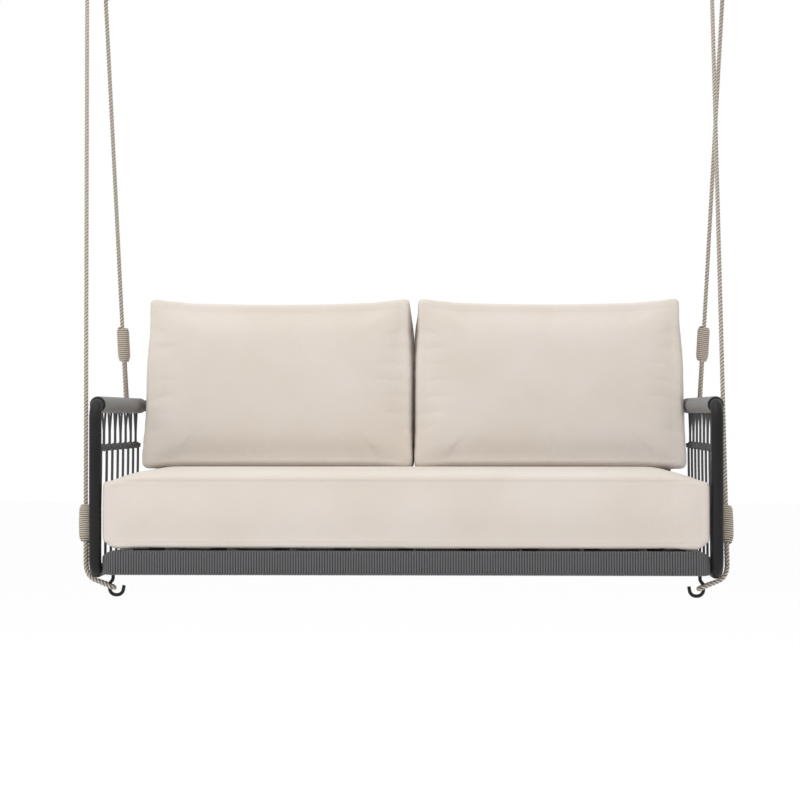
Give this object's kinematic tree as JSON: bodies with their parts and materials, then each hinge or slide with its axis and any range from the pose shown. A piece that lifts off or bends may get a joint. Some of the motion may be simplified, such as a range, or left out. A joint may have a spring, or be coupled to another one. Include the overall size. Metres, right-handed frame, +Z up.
{
  "type": "porch swing",
  "caption": "Two-seat porch swing: cord-wound tubular frame with woven arms and back, loose seat and back cushions, hung on twisted ropes from pivoting ceiling hangers.",
  "frame": {"origin": "in the plane of the ceiling, midway between the two hangers, over the pivot line", "axes": "+X to the sitter's left-hand side as seen from the front (the viewer's right), +Y from front to back, +Z up"},
  "size_m": [1.71, 0.8064, 1.8162],
  "materials": {
    "charcoal_frame": "fine-textured charcoal powder coat on aluminium tube",
    "grey_cord": "braided outdoor cord wound tightly round the tubes",
    "weave_cord": "round braided outdoor cord, pulled tight",
    "cream_fabric": "plain-woven cream outdoor cloth over foam",
    "rope": "three-strand twisted rope, natural tan",
    "whipping_cord": "thin tan twine bound in close turns",
    "black_steel": "black-coated steel rod and plate",
    "zinc_steel": "zinc-plated steel",
    "bush_plastic": "natural nylon"
  },
  "bodies": {
    "root": {"ceiling_bracket_left": "black_steel", "ceiling_bracket_right": "black_steel", "pivot_bolts": "zinc_steel", "pivot_nuts": "zinc_steel"},
    "swing": {"arm_tube_left": "charcoal_frame", "arm_tube_right": "charcoal_frame", "arm_winding_left": "grey_cord", "arm_winding_right": "grey_cord", "back_cords": "weave_cord", "back_cushion_left": "cream_fabric", "back_cushion_right": "cream_fabric", "back_knots": "weave_cord", "back_rail": "charcoal_frame", "back_winding": "grey_cord", "base_corner_castings": "charcoal_frame", "base_corner_windings": "grey_cord", "base_rail_front": "charcoal_frame", "base_rail_left": "charcoal_frame", "base_rail_rear": "charcoal_frame", "base_rail_right": "charcoal_frame", "base_winding_front": "grey_cord", "base_winding_left": "grey_cord", "base_winding_rear": "grey_cord", "base_winding_right": "grey_cord", "cross_beam": "charcoal_frame", "d_ring_left": "zinc_steel", "d_ring_right": "zinc_steel", "floor_tube_left": "charcoal_frame", "floor_tube_right": "charcoal_frame", "front_hook_left": "black_steel", "front_hook_right": "black_steel", "front_post_left": "charcoal_frame", "front_post_right": "charcoal_frame", "hanger_link_left": "black_steel", "hanger_link_right": "black_steel", "pivot_bushes": "bush_plastic", "rear_floor_tube": "charcoal_frame", "rear_hook_left": "black_steel", "rear_hook_right": "black_steel", "rear_post_left": "charcoal_frame", "rear_post_right": "charcoal_frame", "rope_front_left": "rope", "rope_front_right": "rope", "rope_rear_left": "rope", "rope_rear_right": "rope", "seat_cushion": "cream_fabric", "seat_slats": "charcoal_frame", "side_cords_left": "weave_cord", "side_cords_right": "weave_cord", "side_knots_left": "weave_cord", "side_knots_right": "weave_cord", "thimbles": "zinc_steel", "upper_whippings": "whipping_cord", "whipping_front_left": "whipping_cord", "whipping_front_right": "whipping_cord", "whipping_rear_left": "whipping_cord", "whipping_rear_right": "whipping_cord"}
  },
  "joints": [
    {"name": "swing_pivot", "type": "hinge", "parent": "root", "child": "swing", "pos_m": [0, 0, -0.045], "axis": [1, 0, 0], "range_deg": [-30, 30]}
  ]
}
